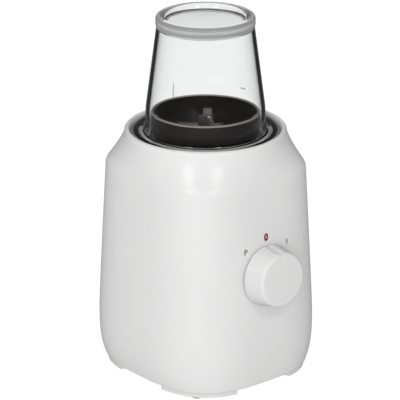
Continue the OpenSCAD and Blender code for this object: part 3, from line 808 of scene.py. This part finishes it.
class BodyShellOperator(bpy.types.Operator):
    """Body shell: squarish sides, a soft shoulder crease, a hollow scoop and a rounded neck rim"""

    bl_idname = "mill_blender.body_shell"
    bl_label = "Body shell"

    def execute(self, context):
        s = sizes()
        n, wall, crease = s.around, s.wall / MM, s.crease / MM
        # Each level with how far it is drawn in, which rounds the foot.
        outside = [(FOOT_Z, 0.8), (FOOT_Z + 0.12, 0.45), (FOOT_Z + 0.35, 0.18), (FOOT_Z + 0.8, 0.0)]
        outside += [(z, 0.0) for z in OUTER_LEVELS]
        rings = [
            ring_of(n, lambda a, z=z, d=d: skin_radius(a, z, crease) - d, z) for z, d in outside
        ]
        # The rim is half an ellipse from the scoop over into the neck.
        half = (NECK_OUT - NECK_IN) / 2
        for i in range(13):
            t = math.pi * i / 12
            r = NECK_IN + half + half * math.cos(t)
            z = SCOOP_TOP + (RIM_TOP - SCOOP_TOP) * math.sin(t)
            rings.append(ring_of(n, lambda a, r=r: r, z))
        rings.append(ring_of(n, lambda a: NECK_IN, SCOOP_TOP - 5))
        rings += [ring_of(n, lambda a, z=z: skin_radius(a, z, crease) - wall, z) for z in INNER_LEVELS]
        rings.append(ring_of(n, lambda a: skin_radius(a, FOOT_Z, crease) - wall, FOOT_Z))
        shell = lofted("body_shell", rings)

        # Holes for the cord inlet at the back and for the switch's neck at the front.
        inlet_r, switch_neck_r, through = 8.2, 5.3, 30
        hole = begin(
            "inlet_hole",
            bpy.ops.mesh.primitive_cylinder_add,
            vertices=48,
            radius=inlet_r * MM,
            depth=through * MM,
            location=(low("cord_inlet") + high("cord_inlet")) / 2,
            rotation=(math.radians(90), 0, 0),
        )
        cut(shell, hole)
        bush = begin(
            "bush_hole",
            bpy.ops.mesh.primitive_cylinder_add,
            vertices=48,
            radius=switch_neck_r * MM,
            depth=through * MM,
        )
        settle_at(bush, lean_at(0))
        cut(shell, bush)

        # A post for each base screw, in from its corner.
        inset = 20
        posts = []
        for k in range(4):
            angle = math.radians(45 + 90 * k)
            at = side_radius(angle, FOOT_Z) - inset
            post = spun("post", [(1.9, 8.4), (4, 8.4), (4, 40), (0, 40), (0, 31), (1.9, 31)], steps=24)
            posts.append(post)
            settle_at(post, Matrix.Rotation(angle, 4, "Z") @ Matrix.Translation((at * MM, 0, 0)))
        join(shell, *posts)
        smooth(shell, 28)
        dress(shell, "Body plastic", "base", "body_white", "housing")
        return {"FINISHED"}


class KnobOperator(bpy.types.Operator):
    """Knob: a tapered drum with a finger notch at its top and a short mark on its face"""

    bl_idname = "mill_blender.knob"
    bl_label = "Knob"

    def execute(self, context):
        r = wide("knob") / MM
        f, d = 21.8, 18.56  # radius of the face, and depth of the knob
        notch_r, notch_out, notch_lean = 11, 10, 10  # the notch's axis is outside the knob, and leans
        outer = [(r - 0.5, 0.0), (r, 0.5), (f + 0.55, d - 3.2)]
        outer += arc(f - 2.35, d - 2.9, 2.9, 2, 90, 7)
        profile = [(3.05, 1.5), (7, 1.5), (7.4, d - 2.2), (f - 3.2, d - 2.2), (r - 2.2, 0)]
        profile += outer + [(0, d), (0, d - 4.2), (3.05, d - 4.2)]
        drum = spun("knob_drum", profile, steps=160)
        groove = begin(
            "notch",
            bpy.ops.mesh.primitive_cylinder_add,
            vertices=128,
            radius=notch_r * MM,
            depth=(d + 16) * MM,
        )
        settle_at(
            groove,
            Matrix.Translation((0, (r + notch_out) * MM, 2 * MM))
            @ Matrix.Rotation(math.radians(notch_lean), 4, "X")
            @ Matrix.Translation((0, 0, (d / 2) * MM)),
        )
        cut(drum, groove)
        line = begin("mark_cut", bpy.ops.mesh.primitive_cube_add, size=1 * MM)
        edit_all(line, "FACE")
        bpy.ops.transform.resize(value=(0.9, 11, 1.2))
        bpy.ops.transform.translate(value=(0, (f - 5.5) * MM, (d + 0.25) * MM))
        bpy.ops.mesh.bevel(offset=0.2 * MM, segments=2)
        done()
        cut(drum, line)
        soften(drum, sizes().soft_edge)
        settle_at(drum, lean_at(1 * MM))
        smooth(drum, 30)
        dress(drum, "Body plastic", "control", "body_white", "knob")
        return {"FINISHED"}


class DialMarksOperator(bpy.types.Operator):
    """Dial marks: P, 0 and 1 printed on the front above the knob"""

    bl_idname = "mill_blender.dial_marks"
    bl_label = "Dial marks"

    def execute(self, context):
        s = sizes()
        shell = bpy.data.objects["body_shell"]
        per_capital = 1.35  # font size for a capital one high
        # Name, sign, angle from the top, size, finish and weight.
        marks = (
            ("mark_pulse", "P", -42, 0.95, "Grey print and rib shade", 0.02),
            ("mark_off", "0", 0, 1.1, "Red print", 0.09),
            ("mark_on", "1", 45, 0.9, "Grey print and rib shade", 0.02),
        )
        for name, letter, angle, scale, finish, weight in marks:
            deselect()
            bpy.ops.object.text_add()
            text = bpy.context.object
            text.data.body = letter
            text.data.align_x = "CENTER"
            text.data.align_y = "CENTER"
            text.data.size = s.mark_height * scale * per_capital
            text.data.offset = weight * s.mark_height
            bpy.ops.object.convert(target="MESH")
            mark = bpy.context.object
            mark.name = mark.data.name = name
            edit_all(mark)
            bpy.ops.mesh.remove_doubles(threshold=0.01 * MM)
            work = bmesh.from_edit_mesh(mark.data)
            xs = [v.co.x for v in work.verts]
            ys = [v.co.y for v in work.verts]
            shift = (-(min(xs) + max(xs)) / 2, -(min(ys) + max(ys)) / 2, 0)
            bpy.ops.transform.translate(value=shift)
            done()
            if letter == "1":
                # A longer flag than the font's own.
                tall = s.mark_height * scale
                flag = begin("flag", bpy.ops.mesh.primitive_plane_add, size=1 * MM)
                edit_all(flag, "FACE")
                bpy.ops.transform.resize(value=(1.9, 0.55, 1))
                bpy.ops.transform.rotate(value=math.radians(-38), orient_axis="Z", center_override=(0, 0, 0))
                bpy.ops.transform.translate(value=(-0.75 * MM, tall / 2 - 1.0 * MM, 0))
                done()
                join(mark, flag)
            turn = math.radians(angle)
            at = Vector((math.sin(turn), math.cos(turn), 0)) * s.mark_radius
            settle_at(mark, lean_at(4 * MM) @ Matrix.Translation(at))
            finish_with(
                mark,
                "SHRINKWRAP",
                target=shell,
                wrap_method="PROJECT",
                use_project_y=True,
                use_positive_direction=True,
                use_negative_direction=True,
                offset=s.mark_lift,
            )
            smooth(mark)
            dress(mark, finish, "base", None)
        return {"FINISHED"}


class PinSpringOperator(bpy.types.Operator):
    """Pin spring: a wire coil under the interlock pin"""

    bl_idname = "mill_blender.pin_spring"
    bl_label = "Pin spring"

    def execute(self, context):
        wire, turns = 0.3 * MM, 5
        foot, head = low("interlock_spring"), high("interlock_spring")
        height = head.z - foot.z
        coil = begin("pin_spring", bpy.ops.mesh.primitive_circle_add, vertices=14, radius=wire)
        edit_all(coil)
        bpy.ops.transform.rotate(value=TURN / 4, orient_axis="X", center_override=(0, 0, 0))
        bpy.ops.transform.translate(value=((head.x - foot.x) / 2 - wire, 0, foot.z + wire))
        done()
        finish_with(
            coil,
            "SCREW",
            axis="Z",
            angle=TURN,
            screw_offset=(height - 2 * wire) / turns,
            iterations=turns,
            steps=32,
            render_steps=32,
        )
        edit(coil)
        pick(coil, "EDGE", lambda e: e.is_boundary)
        bpy.ops.mesh.edge_face_add()
        clean()
        done()
        settle_at(coil, Matrix.Translation(((head.x + foot.x) / 2, (head.y + foot.y) / 2, 0)))
        smooth(coil)
        dress(coil, "Plated steel", "base", "steel", "interlock_spring")
        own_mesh(coil)
        return {"FINISHED"}


class CutterBowlOperator(bpy.types.Operator):
    """Cutter base: a polished bowl on a skirt, with a notched foot and an interrupted thread"""

    bl_idname = "mill_blender.cutter_bowl"
    bl_label = "Cutter bowl"

    def execute(self, context):
        foot, top = low("cutter_base").z / MM, high("cutter_base").z / MM
        # Under the floor from the hub, down inside the skirt, round the foot, up the thread wall and
        # the bowl's wall, over the rim and down the inside, back to the hub.
        profile = [
            (7.2, foot + 19.5), (11, foot + 19.5), (11, foot + 25), (48.2, foot + 25), (48.2, foot),
            (56.1, foot), (56.9, foot + 0.8), (56.9, foot + 4), (50.4, foot + 4), (50.4, foot + 28),
            (43.5, foot + 28), (43.5, top - 1.9),
        ]
        profile += arc(42.15, top - 1.35, 1.35, 0, 180, 10)
        profile += [(39.8, foot + 36), (38.4, foot + 32), (35.4, foot + 29.6), (32.3, foot + 29)]
        profile += [(12, foot + 29), (10.5, foot + 31), (7.2, foot + 31)]
        bowl = spun("cutter_bowl", profile, steps=160, soft=sizes().soft_edge)
        for k in range(4):
            slot = begin("pass_slot", bpy.ops.mesh.primitive_cube_add, size=1 * MM)
            edit_all(slot, "FACE")
            bpy.ops.transform.resize(value=(10, 7, 6))
            bpy.ops.transform.translate(value=(60 * MM, 0, (foot + 2) * MM))
            done()
            turned_about(slot, math.radians(45 + 90 * k))
            cut(bowl, slot)
        lug = [(49.9, foot + 13), (51.8, foot + 13.8), (51.8, foot + 15.2), (49.9, foot + 16)]
        thread = spun("thread", lug, steps=24, angle=math.radians(32), soft=0.2 * MM)
        lugs = [thread] + [twin(thread, "thread") for _ in range(3)]
        for k, one in enumerate(lugs):
            turned_about(one, math.radians(90 * k - 16))
        join(bowl, *lugs)
        smooth(bowl, 30)
        dress(bowl, "Bowl plastic", "mill", "cutter_black", "cutter_base")
        # The rim's faces take the lighter finish, a painted highlight.
        paint(bowl, "Bowl rim highlight", lambda f, m: m.z / MM > top - 1.35 and off_axis(m) > 40.9)
        return {"FINISHED"}


class JarMarksOperator(bpy.types.Operator):
    """Jar marks: a thin upright line and a short level line on the outside of the jar's wall, raised as
    moulded ribs and coloured dark grey as painted shade for the dark lines they show
    """

    bl_idname = "mill_blender.jar_marks"
    bl_label = "Jar marks"

    def execute(self, context):
        upright = [(48.3, 206.5), (47.65, 220.2), (46.5, 229), (46.75, 229), (47.9, 220.2), (48.55, 206.5)]
        level = [(46.98, 224.7), (46.9, 225.3), (47.15, 225.3), (47.23, 224.7)]
        # Name, profile, and how wide and where each is, in degrees round the axis.
        marks = (("mark_upright", upright, 0.5, 85), ("mark_level", level, 7, 11))
        for name, profile, wide_by, angle in marks:
            mark = spun(name, profile, steps=6, angle=math.radians(wide_by))
            turned_about(mark, math.radians(angle))
            smooth(mark)
            # Painted shade: the ribs are coloured dark grey for the dark lines that clear ribs show.
            dress(mark, "Grey print and rib shade", "jar", None)
        return {"FINISHED"}


class JarOperator(bpy.types.Operator):
    """Clear jar: a skirt with a thread, a tapered wall and a rounded foot ring at its closed end"""

    bl_idname = "mill_blender.jar"
    bl_label = "Clear jar"

    def execute(self, context):
        z0, top = low("grinding_jar").z / MM, high("grinding_jar").z / MM
        deck, wall_z, r, rin = 198.2, 206.2, 48.2, 45.4
        # Up the outside, over the bead to the closed end's disc, and down the inside.
        profile = [(54.7, z0), (54.7, deck - 1.2)]
        profile += arc(53.0, deck - 0.5, 1.7, 10, 85, 5)
        profile += [(r + 2.5, deck + 1.75), (r + 1.1, deck + 2.6), (r + 0.4, deck + 4.2), (r + 0.05, wall_z)]
        profile += [(r - 0.6, wall_z + 14), (38.95, top - 9.4), (39.15, top - 8.9)]
        profile += arc(37.0, top - 6.2, 2.6, -20, 20, 3)
        profile += arc(36.6, top - 3.0, 3.0, 5, 90, 7)
        profile += arc(34.6, top - 2.2, 2.2, 95, 180, 5)
        profile += [(31.9, top - 3.3), (30.8, top - 3.9), (29, top - 4.2), (0, top - 4.2), (0, top - 7.4)]
        profile += [(30, top - 7.45), (33.3, top - 7.7), (35.0, top - 8.7), (35.9, top - 10.2)]
        profile += [(36.1, top - 11.5), (rin - 0.6, wall_z + 14), (rin, wall_z), (rin + 0.3, deck + 1.1)]
        profile += [(rin + 1.0, deck), (52.3, deck), (52.3, z0)]
        jar = spun("clear_jar", profile, steps=192, soft=0.25 * MM, segments=2)
        lug = [(52.4, 178), (50.9, 178.8), (50.9, 180.2), (52.4, 181)]
        thread = spun("jar_thread", lug, steps=24, angle=math.radians(32), soft=0.2 * MM)
        lugs = [thread] + [twin(thread, "jar_thread") for _ in range(3)]
        for k, one in enumerate(lugs):
            turned_about(one, math.radians(90 * k + 29))
        join(jar, *lugs)
        smooth(jar, 30)
        dress(jar, "Clear plastic", "jar", "clear_jar", "grinding_jar")
        wall_top, end_foot, disc_r, bead_r = top - 9.6, top - 9.0, 32.5, 35.5
        # The outer wall takes the finish with painted shade along its edges.
        paint(
            jar,
            "Clear wall with edge shade",
            lambda f, m: wall_z < m.z / MM < wall_top and f.normal.dot(outward(m)) > 0.5,
        )
        # The closed end's disc takes the darker copy, painted shade.
        paint(jar, "Clear disc with painted shade", lambda f, m: m.z / MM > end_foot and off_axis(m) < disc_r)
        paint(jar, "Clear bead", lambda f, m: m.z / MM > end_foot and off_axis(m) > bead_r)
        return {"FINISHED"}


# ---- Stage ----


def direction(azimuth, elevation):
    """Direction from the object, in degrees round from the front and up."""
    a, e = math.radians(azimuth), math.radians(elevation)
    return Vector((math.sin(a) * math.cos(e), -math.cos(a) * math.cos(e), math.sin(e)))


def look_back(thing, away):
    """Turns a camera or a light back along the direction it lies in."""
    thing.rotation_euler = (-away).to_track_quat("-Z", "Y").to_euler()


def seen_directly(tree, seen, lit, mirrored):
    """Three strengths: for what is seen past or through the object, what lights it, and what it mirrors."""
    path = tree.nodes.new("ShaderNodeLightPath")
    value = None
    for depth, low_end, high_end in (("Diffuse Depth", seen, lit), ("Glossy Depth", None, mirrored)):
        span = tree.nodes.new("ShaderNodeMapRange")
        link(tree, path, depth, span, "Value")
        span.inputs["To Max"].default_value = high_end
        if value:
            link(tree, value, 0, span, "To Min")
        else:
            span.inputs["To Min"].default_value = low_end
        value = span
    return value


class StageOperator(bpy.types.Operator):
    """Camera, floor and soft studio light"""

    bl_idname = "mill_blender.stage"
    bl_label = "Studio"

    def execute(self, context):
        scene = context.scene
        scene.view_settings.view_transform = "Standard"
        scene.view_settings.look = "None"
        back = direction(-40, 20.3)
        deselect()
        bpy.ops.object.camera_add(location=Vector((0, 0, 0.1395)) + back * 2.3)
        camera = context.object
        look_back(camera, back)
        camera.data.lens = 256.7
        camera.data.sensor_width = 36
        camera.data.shift_x = -0.01375
        camera.data.clip_end = 100
        scene.camera = camera

        floor = begin(
            "studio_floor", bpy.ops.mesh.primitive_circle_add, vertices=96, radius=9, fill_type="NGON"
        )
        material, tree, shader = new_finish("Pale floor")
        tint = place_group(tree, "Tone drift", Color=(0.35, 0.35, 0.35, 1), Amount=0.01, Scale=3.0)
        link(tree, tint, "Color", shader, "Base Color")
        shader.inputs["Roughness"].default_value = 0.9
        shader.inputs["Emission Color"].default_value = (1, 1, 1, 1)
        glow = seen_directly(tree, 0.84, 0.45, 0.03)
        link(tree, glow, 0, shader, "Emission Strength")
        floor.data.materials.append(material)

        world = bpy.data.worlds.new("Studio air")
        scene.world = world
        world.use_nodes = True
        tree = world.node_tree
        tree.nodes.clear()
        out = tree.nodes.new("ShaderNodeOutputWorld")
        air = tree.nodes.new("ShaderNodeBackground")
        air.inputs["Color"].default_value = (1, 1, 1, 1)
        link(tree, seen_directly(tree, 1.0, 0.46, 0.03), 0, air, "Strength")
        link(tree, air, 0, out, "Surface")

        target = Vector((0, 0, 0.14))
        # Name, azimuth, elevation, distance, width, height, watts, and whether it is mirrored.
        lights = (
            ("left_box", -72, 38, 1.7, 0.26, 0.32, 4.0, True),
            ("right_box", -15, 38, 1.7, 0.26, 0.32, 3.2, True),
            ("front_box", -48, 12, 3.6, 2.6, 2.0, 44, False),
            ("top_box", -40, 85, 1.6, 1.0, 1.0, 1.2, False),
            ("back_box", 140, 24, 3.0, 1.6, 1.2, 5.0, True),
        )
        for name, azimuth, elevation, far, wide_by, high_by, power, mirrored in lights:
            away = direction(azimuth, elevation)
            deselect()
            bpy.ops.object.light_add(type="AREA", location=target + away * far)
            lamp = context.object
            lamp.name = name
            look_back(lamp, away)
            lamp.data.shape = "RECTANGLE"
            lamp.data.size = wide_by
            lamp.data.size_y = high_by
            lamp.data.energy = power
            lamp.visible_camera = False
            lamp.visible_glossy = mirrored
            lamp.visible_diffuse = name != "back_box"  # this one is seen only mirrored
            lamp.visible_transmission = False
        return {"FINISHED"}


# ---- Panel and start ----


class MillPanel(bpy.types.Panel):
    """Lists the steps that build the blender, and its sizes and colours"""

    bl_idname = "VIEW3D_PT_mill_blender"
    bl_label = "Mill blender"
    bl_space_type = "VIEW_3D"
    bl_region_type = "UI"
    bl_category = "Mill blender"

    def draw(self, context):
        for step in STEPS:
            self.layout.operator(step.bl_idname)
        for group in (context.scene.mill_sizes, context.scene.mill_colours):
            box = self.layout.box()
            for key in group.bl_rna.properties.keys():
                if key not in ("rna_type", "name"):
                    box.prop(group, key)


STEPS = (
    FinishesOperator,
    BodyShellOperator,
    DialMarksOperator,
    KnobOperator,
    PinSpringOperator,
    CutterBowlOperator,
    JarOperator,
    JarMarksOperator,
    StageOperator,
)
CLASSES = (MillSizes, MillColours, *STEPS, MillPanel)


def register():
    """Registers the classes and their settings."""
    for one in CLASSES:
        bpy.utils.register_class(one)
    bpy.types.Scene.mill_sizes = PointerProperty(type=MillSizes)
    bpy.types.Scene.mill_colours = PointerProperty(type=MillColours)


def unregister():
    """Takes the classes and their settings away again."""
    del bpy.types.Scene.mill_colours
    del bpy.types.Scene.mill_sizes
    for one in reversed(CLASSES):
        bpy.utils.unregister_class(one)


def main():
    """Builds every piece in order."""
    register()
    for step in STEPS:
        area, name = step.bl_idname.split(".")
        result = getattr(getattr(bpy.ops, area), name)()
        if result != {"FINISHED"}:
            raise RuntimeError(f"{step.bl_label} did not finish")
    deselect()


if __name__ == "__main__":
    main()
